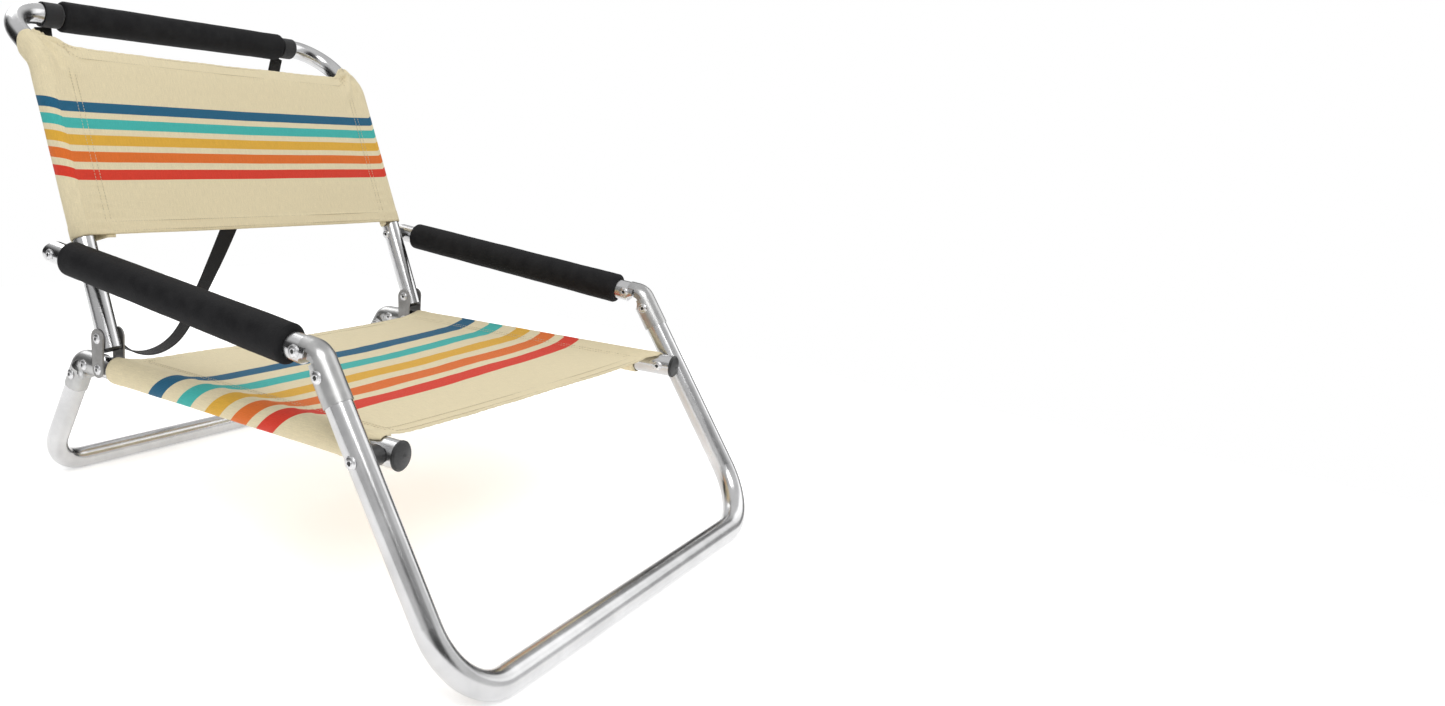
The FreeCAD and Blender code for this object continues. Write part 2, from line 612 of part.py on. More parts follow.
# ---------------------------------------------------------------- slings and strap
def sag_band(half, height, sag, length, placement):
    """Curved sheet between the two tubes; local X across the chair, Y out of the sheet, Z along the tubes."""
    thick = dim("fabric_thick")
    upper = Part.Arc(Vector(-half, height, 0), Vector(0, height - sag, 0), Vector(half, height, 0)).toShape()
    lower = Part.Arc(Vector(-half, height - thick, 0), Vector(0, height - sag - thick, 0),
                     Vector(half, height - thick, 0)).toShape()
    ends = [Part.makeLine(Vector(s * half, height, 0), Vector(s * half, height - thick, 0)) for s in (-1, 1)]
    face = Part.Face(Part.Wire(Part.__sortEdges__([upper, lower] + ends)))
    band = doc.addObject("Part::Feature", "band")
    band.Shape = face.extrude(Vector(0, 0, length))
    band.Placement = placement
    return band


def sling_edge(rise):
    """Half width of a panel whose edges end inside the sleeves' walls, at a height above the tubes' axes."""
    middle = (dim("sleeve_in_r") + dim("sleeve_out_r")) / 2
    return INNER - math.sqrt(max(middle ** 2 - rise ** 2, 0))


def seat_sling():
    """Seat fabric: a sleeve on each rail and the taut panel between them, a little below the rails' tops."""
    rear = LEG_PIVOT - RAIL_FORWARD * dim("seat_fabric_rear")
    rise = dim("seat_panel_rise")
    # Only the top of the sleeves reaches over the leg pivot, clear of its rivet and spacer.
    pivot_room = block(LEG_PIVOT - RAIL_FORWARD * dim("seat_sleeve_open") + RAIL_UP * 9.5, -RAIL_UP,
                       RAIL_FORWARD, 640, 30, 60)
    sleeves = []
    for _, sign in MIRROR_SIDES:
        sleeve = tube("dims.seat_fabric_rear", rear + Vector(sign * INNER, 0, 0), RAIL_FORWARD,
                      "dims.sleeve_out_r", "dims.sleeve_in_r")
        sleeves.append(cut(sleeve, pivot_room))
    turn = Rotation(Vector(1, 0, 0), Vector(0, 0, 0), RAIL_FORWARD, "ZXY")
    length = dim("seat_fabric_rear") - dim("seat_panel_front")
    band = sag_band(sling_edge(rise), rise, dim("seat_sag"), length, Placement(rear, turn))
    return name_part(fuse(band, *sleeves), "seat_sling")


def back_sling():
    """Back fabric: a sleeve on each back tube and the taut panel across their fronts."""
    low = BACK_PIVOT + BACK_UP * dim("back_fabric_low")
    length = dim("back_fabric_high") - dim("back_fabric_low")
    rise = dim("back_panel_rise")
    sleeves = [tube(length, low + Vector(sign * INNER, 0, 0), BACK_UP, "dims.sleeve_out_r",
                    "dims.sleeve_in_r") for _, sign in MIRROR_SIDES]
    turn = Rotation(Vector(-1, 0, 0), Vector(0, 0, 0), BACK_UP, "ZXY")
    band = sag_band(INNER - 4, rise, dim("back_sag"), length, Placement(low, turn))
    return name_part(fuse(band, *sleeves), "back_sling")


# The strap hangs behind the back from one wrap to the other: x and z of its turning points.
STRAP_ROUTE = [(205, 527), (187, 462), (163, 388), (133, 312), (98, 238), (59, 167), (30, 118),
               (1, 98), (-33, 92), (-67, 101), (-94, 123), (-117, 172), (-144, 248), (-168, 328),
               (-187, 410), (-200, 478), (-205, 527)]


def shoulder_strap():
    """Flat webbing swept along straight runs with tangent arcs."""
    points = [Vector(x, TOP_BAR.y, z) for x, z in STRAP_ROUTE]
    radii = []
    for before, corner, after in zip(points, points[1:], points[2:]):
        turn = (corner - before).getAngle(after - corner)
        shorter = min((corner - before).Length, (after - corner).Length)
        radii.append(0.45 * shorter / math.tan(turn / 2))
    print("strap bend radii:", [round(radius) for radius in radii])
    spine = doc.addObject("Part::Feature", "strap_route")
    spine.Shape = rounded_wire(points, radii)
    heading = (points[1] - points[0]).normalize()
    section = doc.addObject("Part::Plane", "strap_section")
    bind(section, Length="dims.strap_thick", Width="dims.strap_width")
    turn = Rotation(Vector(0, 0, 0), Vector(0, 1, 0), heading, "ZYX")
    middle = turn.multVec(Vector(dim("strap_thick") / 2, dim("strap_width") / 2, 0))
    section.Placement = Placement(points[0] - middle, turn)
    doc.recompute()
    strap = doc.addObject("Part::Sweep", "strap")
    strap.Sections = [section]
    strap.Spine = (spine, ["Edge%d" % (n + 1) for n in range(len(spine.Shape.Edges))])
    strap.Solid = True
    strap.Frenet = False
    doc.recompute()
    expected = dim("strap_width") * dim("strap_thick") * spine.Shape.Length
    print("strap length %.0f, volume %.3f of section x length"
          % (spine.Shape.Length, strap.Shape.Volume / expected))
    return name_part(strap, "shoulder_strap")


seat_sling()
back_sling()
shoulder_strap()

# ---------------------------------------------------------------- check and export
doc.recompute()
for obj in doc.Objects:
    bad = [state for state in obj.State if state in ("Invalid", "Error")]
    if bad:
        raise RuntimeError("%s (%s): %s" % (obj.Name, obj.Label, bad))
os.makedirs("parts", exist_ok=True)
for obj in parts:
    if obj.Shape.isNull() or not obj.Shape.isValid():
        raise RuntimeError("bad shape: " + obj.Label)
    obj.Shape.exportStep("parts/%s.step" % obj.Label)
    print("%-24s solids %d  volume %.0f" % (obj.Label, len(obj.Shape.Solids), obj.Shape.Volume))
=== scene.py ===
import json
import math

import bpy
import numpy as np
from mathutils import Matrix, Vector, noise


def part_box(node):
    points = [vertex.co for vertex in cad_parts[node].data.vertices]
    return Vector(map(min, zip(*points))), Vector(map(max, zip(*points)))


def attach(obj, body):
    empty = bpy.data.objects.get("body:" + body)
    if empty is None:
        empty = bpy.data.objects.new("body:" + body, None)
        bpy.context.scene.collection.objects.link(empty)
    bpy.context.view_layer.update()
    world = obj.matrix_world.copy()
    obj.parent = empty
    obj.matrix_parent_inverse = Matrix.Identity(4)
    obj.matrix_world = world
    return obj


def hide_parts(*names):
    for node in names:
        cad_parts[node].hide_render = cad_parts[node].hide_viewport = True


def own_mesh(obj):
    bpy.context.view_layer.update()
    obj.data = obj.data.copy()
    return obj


# Folding camp chair, in metres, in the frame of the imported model: +Z up, -Y the way the sitter faces.
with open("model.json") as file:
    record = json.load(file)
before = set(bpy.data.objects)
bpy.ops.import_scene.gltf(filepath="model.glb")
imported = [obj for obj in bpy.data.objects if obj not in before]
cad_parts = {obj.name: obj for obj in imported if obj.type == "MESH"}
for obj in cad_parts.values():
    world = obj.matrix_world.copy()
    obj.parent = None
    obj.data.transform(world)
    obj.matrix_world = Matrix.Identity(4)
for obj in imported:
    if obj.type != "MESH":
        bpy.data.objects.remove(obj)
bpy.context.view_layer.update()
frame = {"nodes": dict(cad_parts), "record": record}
JOINTS = {joint["name"]: joint for joint in frame["record"]["behaviour"]["joints"]}

# ---------------------------------------------------------------- sizes and places
TUBE_R = 0.0125
INNER = 0.272                                   # half the spacing of rails and back tubes
OUTER = 0.306                                   # half the spacing of arms and front legs
RAIL_TILT = math.radians(2.8)
BACK_LEAN = math.radians(63.8)
SEAT_PIVOT = Vector(JOINTS["front_leg_fold"]["pos_m"])
BACK_PIVOT = Vector(JOINTS["back_fold"]["pos_m"])
HEAD_LOW, HEAD_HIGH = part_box("headrest_grip")
HEAD_CENTRE = (HEAD_LOW + HEAD_HIGH) / 2
X_AXIS = Vector((1, 0, 0))
REARWARD = Vector((0, math.cos(RAIL_TILT), -math.sin(RAIL_TILT)))
SEAT_UP = Vector((0, math.sin(RAIL_TILT), math.cos(RAIL_TILT)))
BACK_UP = Vector((0, math.cos(BACK_LEAN), math.sin(BACK_LEAN)))
BACK_FRONT = Vector((0, -math.sin(BACK_LEAN), math.cos(BACK_LEAN)))

STRIPES = ("blue", "teal", "yellow", "orange", "red")
COLOURS = {
    "cream": (0.79, 0.69, 0.46),
    "blue": (0.012, 0.115, 0.215),
    "teal": (0.055, 0.46, 0.42),
    "yellow": (0.75, 0.42, 0.05),
    "orange": (0.75, 0.165, 0.025),
    "red": (0.70, 0.045, 0.022),
}


# ---------------------------------------------------------------- materials
class Nodes:
    """Short calls for building a node tree."""

    def __init__(self, tree):
        self.tree = tree

    def node(self, kind, **settings):
        made = self.tree.nodes.new(kind)
        for key, value in settings.items():
            setattr(made, key, value)
        return made

    def link(self, source, target):
        self.tree.links.new(source, target)

    def coordinates(self, output, scale=(1, 1, 1)):
        place = self.node("ShaderNodeTexCoord")
        mapping = self.node("ShaderNodeMapping")
        mapping.inputs["Scale"].default_value = scale
        self.link(place.outputs[output], mapping.inputs["Vector"])
        return mapping.outputs["Vector"]

    def split(self, vector):
        made = self.node("ShaderNodeSeparateXYZ")
        self.link(vector, made.inputs["Vector"])
        return made.outputs

    def noise(self, vector, scale, detail=3.0, roughness=0.5):
        made = self.node("ShaderNodeTexNoise")
        made.inputs["Scale"].default_value = scale
        made.inputs["Detail"].default_value = detail
        made.inputs["Roughness"].default_value = roughness
        self.link(vector, made.inputs["Vector"])
        return made.outputs["Fac"]

    def ramp(self, value, stops, interpolation="LINEAR"):
        """Colours for a 0..1 value, from stops of (place, colour)."""
        made = self.node("ShaderNodeValToRGB")
        made.color_ramp.interpolation = interpolation
        elements = made.color_ramp.elements
        while len(elements) < len(stops):
            elements.new(0.5)
        for element, (place, colour) in zip(elements, stops):
            element.position = place
            element.color = (*colour, 1)
        self.link(value, made.inputs["Fac"])
        return made.outputs["Color"]

    def remap(self, value, source=(0.0, 1.0), target=(0.0, 1.0)):
        """Remap a value from the source's range to the target's."""
        made = self.node("ShaderNodeMapRange")
        made.inputs["From Min"].default_value, made.inputs["From Max"].default_value = source
        made.inputs["To Min"].default_value, made.inputs["To Max"].default_value = target
        self.link(value, made.inputs["Value"])
        return made.outputs["Result"]

    def maths(self, operation, first, second):
        made = self.node("ShaderNodeMath", operation=operation)
        for socket, value in zip(made.inputs, (first, second)):
            if isinstance(value, (int, float)):
                socket.default_value = value
            else:
                self.link(value, socket)
        return made.outputs["Value"]

    def blend(self, how, first, second):
        """One colour blended fully with another."""
        made = self.node("ShaderNodeMix", data_type="RGBA", blend_type=how)
        made.inputs["Factor"].default_value = 1.0
        self.link(first, made.inputs[6])
        self.link(second, made.inputs[7])
        return made.outputs[2]


class Shader(Nodes):
    """A Principled material."""

    def __init__(self, name, roughness, metallic=0.0, specular=0.5):
        self.material = bpy.data.materials.new(name)
        self.material.use_nodes = True
        super().__init__(self.material.node_tree)
        self.surface = self.tree.nodes["Principled BSDF"]
        self.surface.inputs["Roughness"].default_value = roughness
        self.surface.inputs["Metallic"].default_value = metallic
        self.surface.inputs["Specular IOR Level"].default_value = specular

    def bump(self, height, strength, distance):
        made = self.node("ShaderNodeBump")
        made.inputs["Strength"].default_value = strength
        made.inputs["Distance"].default_value = distance
        self.link(height, made.inputs["Height"])
        self.link(made.outputs["Normal"], self.surface.inputs["Normal"])

    def colour(self, source):
        self.link(source, self.surface.inputs["Base Color"])

    def roughness(self, source, low, high):
        """Roughness from low to high as the source goes from 0 to 1."""
        self.link(self.remap(source, target=(low, high)), self.surface.inputs["Roughness"])


def drawn_aluminium():
    """Satin tube: faint draw lines, and soft blotches in its colour and shine."""
    s = Shader("drawn_aluminium", 0.3, metallic=1.0)
    cloud = s.noise(s.coordinates("Object"), 22, 4, 0.6)
    lines = s.noise(s.coordinates("Object", (900, 60, 90)), 1.0, 3, 0.6)
    s.colour(s.ramp(cloud, [(0.3, (0.50, 0.50, 0.505)), (0.7, (0.62, 0.62, 0.625))]))
    s.roughness(s.maths("MULTIPLY", cloud, lines), 0.16, 0.42)
    s.bump(lines, 0.12, 0.0002)
    return s.material


def cast_grey():
    """Silver-grey coated brackets with a fine speckle."""
    s = Shader("bracket_coat", 0.4, metallic=0.85)
    speckle = s.noise(s.coordinates("Object"), 900, 2)
    cloud = s.noise(s.coordinates("Object"), 60, 3)
    s.colour(s.ramp(cloud, [(0.3, (0.38, 0.38, 0.38)), (0.7, (0.50, 0.50, 0.495))]))
    s.roughness(cloud, 0.22, 0.42)
    s.bump(speckle, 0.15, 0.0002)
    return s.material


def plate_grey():
    """Hinge plates: duller and darker, with a soft rolled grain."""
    s = Shader("plate_coat", 0.5, metallic=0.8)
    grain = s.noise(s.coordinates("Object", (60, 60, 900)), 1.0, 3)
    cloud = s.noise(s.coordinates("Object"), 80, 4, 0.6)
    s.colour(s.ramp(cloud, [(0.3, (0.235, 0.23, 0.225)), (0.7, (0.36, 0.355, 0.35))]))
    s.roughness(cloud, 0.4, 0.6)
    s.bump(grain, 0.15, 0.0002)
    return s.material


def rivet_hollow():
    """The middle of a tubular rivet, coloured near-black: painted shade for the depth of its hole."""
    s = Shader("rivet_hollow", 0.5, metallic=0.6)
    spots = s.noise(s.coordinates("Object"), 800, 2)
    # Near-black colour: painted shade of the rivet's hole, which the shallow dish is too shallow to cast.
    s.colour(s.ramp(spots, [(0.3, (0.02, 0.02, 0.02)), (0.7, (0.07, 0.07, 0.07))]))
    s.bump(spots, 0.2, 0.0002)
    return s.material


def rivet_steel():
    """Bright rivet heads with small tool marks."""
    s = Shader("rivet_steel", 0.28, metallic=1.0)
    marks = s.noise(s.coordinates("Object"), 420, 4, 0.65)
    s.colour(s.ramp(marks, [(0.35, (0.55, 0.55, 0.56)), (0.7, (0.80, 0.80, 0.81))]))
    s.roughness(marks, 0.2, 0.45)
    s.bump(marks, 0.2, 0.0003)
    return s.material


def black_plastic():
    """Moulded black caps and spacers with a light grain."""
    s = Shader("black_plastic", 0.42)
    grain = s.noise(s.coordinates("Object"), 700, 3)
    s.colour(s.ramp(grain, [(0.3, (0.012, 0.012, 0.012)), (0.8, (0.03, 0.03, 0.031))]))
    s.roughness(grain, 0.3, 0.5)
    s.bump(grain, 0.25, 0.0003)
    return s.material


def black_foam():
    """Closed-cell foam: fine pores and a dull skin."""
    s = Shader("black_foam", 0.8, specular=0.16)
    vector = s.coordinates("Object")
    pores = s.node("ShaderNodeTexVoronoi")
    pores.inputs["Scale"].default_value = 620
    s.link(vector, pores.inputs["Vector"])
    cloud = s.noise(vector, 70, 3)
    s.colour(s.ramp(cloud, [(0.3, (0.007, 0.007, 0.008)), (0.75, (0.017, 0.017, 0.018))]))
    s.roughness(cloud, 0.62, 0.9)
    s.bump(s.maths("ADD", pores.outputs["Distance"], cloud), 0.4, 0.0005)
    return s.material


def weave_height(s, vector):
    """Plain weave: threads over and under, along the vector's x and y."""
    warp = s.node("ShaderNodeTexWave", bands_direction="X", wave_profile="SIN")
    weft = s.node("ShaderNodeTexWave", bands_direction="Y", wave_profile="SIN")
    for wave in (warp, weft):
        wave.inputs["Scale"].default_value = 1.0
        s.link(vector, wave.inputs["Vector"])
    return s.maths("MULTIPLY", warp.outputs["Fac"], weft.outputs["Fac"])


def striped_cloth(name, centres, width):
    """Cream woven cloth with five stripes across it; the UV map's V is the place along the tubes."""
    s = Shader(name, 0.86, specular=0.25)
    s.surface.inputs["Sheen Weight"].default_value = 0.08
    s.surface.inputs["Sheen Roughness"].default_value = 0.5
    low = centres[-1] - width
    high = centres[0] + width
    place = s.remap(s.split(s.coordinates("UV"))["Y"], source=(low, high))
    stops = [(0.0, COLOURS["cream"])]
    for centre, key in sorted(zip(centres, STRIPES)):
        stops.append(((centre - width / 2 - low) / (high - low), COLOURS[key]))
        stops.append(((centre + width / 2 - low) / (high - low), COLOURS["cream"]))
    stripes = s.ramp(place, stops, "CONSTANT")
    weave = weave_height(s, s.coordinates("UV", (210, 210, 1)))
    slubs = s.noise(s.coordinates("UV", (900, 90, 1)), 1.0, 3, 0.6)
    flecks = s.noise(s.coordinates("UV", (700, 700, 1)), 1.0, 4, 0.7)
    shade = s.remap(s.maths("MULTIPLY", slubs, flecks), target=(0.76, 1.34))
    s.colour(s.blend("MULTIPLY", stripes, shade))
    s.bump(s.maths("ADD", weave, s.maths("MULTIPLY", flecks, 1.4)), 0.55, 0.0006)
    return s.material


def webbing():
    """Black woven strap with a diagonal rib."""
    s = Shader("black_webbing", 0.75, specular=0.3)
    s.surface.inputs["Sheen Weight"].default_value = 0.15
    vector = s.coordinates("UV", (420, 260, 1))
    weave = weave_height(s, vector)
    twill = s.node("ShaderNodeTexWave", bands_direction="DIAGONAL")
    twill.inputs["Scale"].default_value = 1.0
    s.link(vector, twill.inputs["Vector"])
    s.colour(s.ramp(twill.outputs["Fac"], [(0.2, (0.007, 0.007, 0.008)), (0.9, (0.022, 0.022, 0.024))]))
    s.bump(s.maths("ADD", weave, twill.outputs["Fac"]), 0.5, 0.0006)
    return s.material


def thread(name, colour):
    """Sewing thread, lighter and darker along its twist."""
    s = Shader(name, 0.7)
    twist = s.noise(s.coordinates("Object"), 1500, 2)
    dark = tuple(0.75 * c for c in colour)
    s.colour(s.ramp(twist, [(0.3, dark), (0.7, colour)]))
    s.bump(twist, 0.3, 0.0002)
    return s.material


def pale_floor():
    """Near-white floor that glows a little, so that it stays as pale as the backdrop."""
    s = Shader("floor", 0.9, specular=0.2)
    grain = s.noise(s.coordinates("Object"), 40, 2)
    s.colour(s.ramp(grain, [(0.3, (0.88, 0.88, 0.88)), (0.7, (0.90, 0.90, 0.90))]))
    s.surface.inputs["Emission Color"].default_value = (1, 1, 1, 1)
    s.surface.inputs["Emission Strength"].default_value = 0.42
    return s.material


MATERIALS = {
    "tube_silver": drawn_aluminium(),
    "bracket_grey": cast_grey(),
    "rivet_steel": rivet_steel(),
    "plate_grey": plate_grey(),
    "rivet_hollow": rivet_hollow(),
    "black_plastic": black_plastic(),
    "black_foam": black_foam(),
    "black_webbing": webbing(),
}
SEAT_STRIPES = (0.268, 0.223, 0.180, 0.143, 0.108)      # behind the front leg's pivot
BACK_STRIPES = (0.266, 0.246, 0.226, 0.206, 0.1845)     # above the backrest's pivot
SEAT_STRIPE_WIDTH = 0.0215
BACK_STRIPE_WIDTH = 0.0125
SEAT_CLOTH = striped_cloth("seat_cloth", SEAT_STRIPES, SEAT_STRIPE_WIDTH)
BACK_CLOTH = striped_cloth("back_cloth", BACK_STRIPES, BACK_STRIPE_WIDTH)
CREAM_THREAD = thread("cream_thread", (0.62, 0.54, 0.38))
BLACK_THREAD = thread("black_thread", (0.05, 0.05, 0.052))


# ---------------------------------------------------------------- mesh helpers
def mesh_piece(name, points, faces, material, body, uvs=None, rounded=True):
    """A piece that rides on a body; uvs holds one pair per point, and rounded asks for smooth shading."""
    mesh = bpy.data.meshes.new(name)
    mesh.from_pydata([tuple(p) for p in points], [], [tuple(f) for f in faces])
    if uvs is not None:
        layer = mesh.uv_layers.new(name="UVMap")
        for loop in mesh.loops:
            layer.data[loop.index].uv = uvs[loop.vertex_index]
    for polygon in mesh.polygons:
        polygon.use_smooth = rounded
    mesh.materials.append(material)
    mesh.validate()
    piece = bpy.data.objects.new(name, mesh)
    bpy.context.scene.collection.objects.link(piece)
    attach(piece, body)
    return piece


def loft(rings, caps=True):
    """Faces between closed rings of points, and over the two end rings when caps is set."""
    rows, count = len(rings), len(rings[0])
    points = [p for ring in rings for p in ring]
    faces = []
    for r in range(rows - 1):
        for c in range(count):
            nxt = (c + 1) % count
            faces.append((r * count + c, r * count + nxt, (r + 1) * count + nxt, (r + 1) * count + c))
    if caps:
        faces.append(tuple(reversed(range(count))))
        faces.append(tuple((rows - 1) * count + c for c in range(count)))
    return points, faces


def thick_sheet(grid, uv_grid, thickness):
    """Closed thin solid from a grid of points: thickness(row, column) in metres, half on each side."""
    g = np.array([[tuple(p) for p in row] for row in grid])
    along = np.gradient(g, axis=0)
    across = np.gradient(g, axis=1)
    normal = np.cross(across, along)
    normal /= np.maximum(np.linalg.norm(normal, axis=2, keepdims=True), 1e-12)
    rows, cols = g.shape[:2]
    half = np.array([[thickness(r, c) / 2 for c in range(cols)] for r in range(rows)])[..., None]
    top, under = g + normal * half, g - normal * half
    points = [*top.reshape(-1, 3), *under.reshape(-1, 3)]
    size = rows * cols
    faces = []
    for r in range(rows - 1):
        for c in range(cols - 1):
            a, b = r * cols + c, r * cols + c + 1
            d, e = a + cols, b + cols
            faces.append((a, b, e, d))
            faces.append((size + d, size + e, size + b, size + a))
    rim = [(0, c) for c in range(cols)] + [(r, cols - 1) for r in range(1, rows)]
    rim += [(rows - 1, c) for c in range(cols - 2, -1, -1)] + [(r, 0) for r in range(rows - 2, 0, -1)]
    ids = [r * cols + c for r, c in rim]
    for a, b in zip(ids, ids[1:] + ids[:1]):
        faces.append((b, a, size + a, size + b))
    uvs = [uv for row in uv_grid for uv in row] * 2
    return points, faces, uvs


def tiny_boxes(places):
    """Stitches: places are (centre, direction, side, normal, length, width, height)."""
    top_share, sunk_share = 0.72, 0.3
    points, faces = [], []
    for centre, direction, side, normal, length, width, height in places:
        base = len(points)
        d, s, n = direction * length / 2, side * width / 2, normal * height
        ring = [centre - d - s, centre + d - s, centre + d + s, centre - d + s]
        top = [centre + (p - centre) * top_share + n for p in ring]
        points += [p - n * sunk_share for p in ring] + top
        for k in range(4):
            nxt = (k + 1) % 4
            faces.append((base + k, base + nxt, base + 4 + nxt, base + 4 + k))
        faces.append(tuple(base + 4 + k for k in range(4)))
        faces.append(tuple(base + k for k in reversed(range(4))))
    return points, faces


# ---------------------------------------------------------------- slings
SLEEVE_R = TUBE_R + 0.00095     # middle of the cloth round a tube
SEAM_INSET = 0.024              # where a sleeve is sewn down, inside its tube's axis
SEAM_FLAP = 0.011               # cloth past the seam
HEM = 0.016
CLOTH = 0.0012
HEM_CLOTH = 1.75 * CLOTH        # two layers, pressed together by the stitches


def smooth(value, low, high):
    """0 at low and 1 at high, with an even start and finish."""
    t = min(max((value - low) / (high - low), 0.0), 1.0)
    return t * t * (3 - 2 * t)


class Sling:
    """Taut cloth between two parallel tubes: a sewn sleeve round each tube and a flat panel.

    Local directions: x across the chair, along the tubes, and up out of the cloth.
    rise is the panel's height over the tubes' axes, sag its dip in the middle, and ramp the width over which
    it climbs to the sleeves. slant is how far the print runs off square: (across one half, round one sleeve).
    bend is where and how the tubes bend away from straight: (start, radius, angle)."""

    def __init__(self, origin, along, up, rise, sag, ramp, slant, bend=None):
        self.origin, self.along, self.up = origin, along, up
        self.rise, self.sag, self.ramp = rise, sag, ramp
        self.slant, self.bend = slant, bend
        self.join = math.pi / 2 + math.atan(2 * (SLEEVE_R - rise) / ramp)
        self.edge = INNER + SLEEVE_R * math.cos(self.join)

    def height(self, x):
        """The panel's height above the tubes' axes."""
        x = abs(x)
        lift = SLEEVE_R * math.sin(self.join) - self.rise
        near = min(max((x - self.edge + self.ramp) / self.ramp, 0.0), 1.0)
        return self.rise + lift * near ** 2 - self.sag * (1 - (x / self.edge) ** 2)

    def section(self):
        """Cross-section between the two seams: (x, height, place along the cloth, zone)."""
        panel_points, sleeve_points, flap_points = 56, 44, 6
        half = [(x, self.height(x), "panel") for x in np.linspace(0, self.edge, panel_points)]
        seam_x = INNER - SEAM_INSET
        rise = self.height(seam_x) - HEM_CLOTH
        towards = math.atan2(rise, -SEAM_INSET)
        leave = towards + math.acos(SLEEVE_R / math.hypot(rise, SEAM_INSET)) - 2 * math.pi
        half += [(INNER + SLEEVE_R * math.cos(a), SLEEVE_R * math.sin(a), "sleeve")
                 for a in np.linspace(self.join, leave, sleeve_points)[1:]]
        x, z, _ = half[-1]
        half += [(x + (seam_x - x) * t, z + (rise - z) * t, "tuck")
                 for t in np.linspace(0, 1, flap_points)[1:]]
        half += [(x, self.height(x) - HEM_CLOTH, "tuck")
                 for x in np.linspace(seam_x, seam_x - SEAM_FLAP, flap_points)[1:]]
        full = [(-x, z, zone) for x, z, zone in reversed(half[1:])] + half
        lengths = [0.0]
        for (xa, za, _), (xb, zb, _) in zip(full, full[1:]):
            lengths.append(lengths[-1] + math.hypot(xb - xa, zb - za))
        middle = lengths[len(half) - 1]
        return [(x, z, place - middle, zone) for (x, z, zone), place in zip(full, lengths)]

    def print_shift(self, x, z, zone):
        """How far the printed stripes run off square: a little across the panel, more round the sleeves."""
        across, round_sleeve = self.slant
        shift = across * x / INNER
        full_turn = 3.0         # radians round the tube, from the panel, over which the shift builds up
        if zone == "sleeve":
            angle = math.atan2(z, abs(x) - INNER)
            angle -= 2 * math.pi if angle > math.pi * 0.75 else 0.0
            shift += round_sleeve * min(max(self.join - angle, 0.0) / full_turn, 1.0)
        elif zone == "tuck":
            shift += round_sleeve
        return shift

    def point(self, x, height, v):
        """World point at a place along the tubes; past the tubes' bend the cloth follows them."""
        up = self.up
        start, radius, full = self.bend or (v, 1.0, 0.0)
        centre = self.origin + self.along * min(v, start)
        if v > start:
            turn = min((v - start) / radius, full)
            heading = self.along * math.cos(turn) - self.up * math.sin(turn)
            centre += self.along * radius * math.sin(turn) - self.up * radius * (1 - math.cos(turn))
            centre += heading * max(0.0, v - start - radius * full)
            up = self.up * math.cos(turn) + self.along * math.sin(turn)
        return centre + X_AXIS * x + up * height


def corner_folds(x, v, corner_v):
    """Creases that fan out from the two top corners, where the cloth is pulled round the tubes' bend."""
    depth, creases = 0.0030, 9.5
    middle, spread = 0.022, 0.03        # distances from the corner
    away_x, away_v = INNER - 0.004 - abs(x), corner_v - v
    distance = math.hypot(away_x, away_v)
    if distance < 0.004:
        return 0.0
    angle = math.atan2(away_v, away_x + 0.004)
    reach = math.exp(-((distance - middle) / spread) ** 2)
    fold = math.sin(angle * creases + 1.4 * noise.noise(Vector((x * 30, v * 30, 2))))
    return reach * depth * fold


def cloth_ripples(x, v, to_hem):
    """Slack in the panel, and puckers along the seams and the hems."""
    on_panel = 1 - smooth(abs(x), INNER - 0.045, INNER - 0.012)
    by_sleeve = math.exp(-((abs(x) - INNER + SEAM_INSET) / 0.012) ** 2)
    by_hem = math.exp(-to_hem / 0.012) * on_panel
    slack = noise.noise(Vector((x * 9, v * 14, 3.1))) * 0.0013
    streaks = noise.noise(Vector((x * 34, v * 5, 7.7))) * 0.0005
    seam_puckers = math.sin(v * 520 + 3 * noise.noise(Vector((v * 20, 0, 1)))) * 0.0003
    hem_puckers = math.sin(x * 430 + 2 * noise.noise(Vector((x * 16, 4, 1)))) * 0.00025
    return (slack + streaks) * on_panel + seam_puckers * by_sleeve + hem_puckers * by_hem


def cloth_piece(name, sling, low_edge, high_edge, material, body, node, corner_v=None):
    """The sling as one sheet; the edges give the hems' places along the tubes."""
    rows = 132
    ease = 0.0006               # how far a sleeve stands off its tube at most
    section = sling.section()
    lows = [low_edge(x, z, zone) for x, z, _, zone in section]
    highs = [high_edge(x, z, zone) for x, z, _, zone in section]
    grid, uv_grid = [], []
    for r in range(rows + 1):
        row, uv_row = [], []
        for (x, z, place, zone), low, high in zip(section, lows, highs):
            v = low + (high - low) * (r / rows)
            ripple = cloth_ripples(x, v, min(v - low, high - v))
            if zone != "tuck" and corner_v is not None:
                ripple += corner_folds(x, v, corner_v) * (1 if zone == "panel" else 0.25)
            radial = smooth(abs(x), INNER - 0.012, INNER - 0.004) if zone == "sleeve" else 0.0
            loose = ease * radial * (0.5 + 0.5 * noise.noise(Vector((place * 40, v * 22, 5))))
            outward = math.atan2(z, abs(x) - INNER)
            grow_x = math.copysign(loose * math.cos(outward), x)
            row.append(sling.point(x + grow_x, z + ripple * (1 - radial) + loose * math.sin(outward), v))
            uv_row.append((place, v - sling.print_shift(x, z, zone)))
        grid.append(row)
        uv_grid.append(uv_row)

    def thickness(r, c):
        """Thin at the cut edge, thick in the hem, single between."""
        from_edge = min(r, rows - r) / rows * (highs[c] - lows[c])
        round_off = min(1.0, 0.35 + from_edge / 0.003)
        return (HEM_CLOTH if from_edge < HEM else CLOTH) * round_off

    points, faces, uvs = thick_sheet(grid, uv_grid, thickness)
    cloth = mesh_piece(name, points, faces, material, body, uvs)
    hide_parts(node)


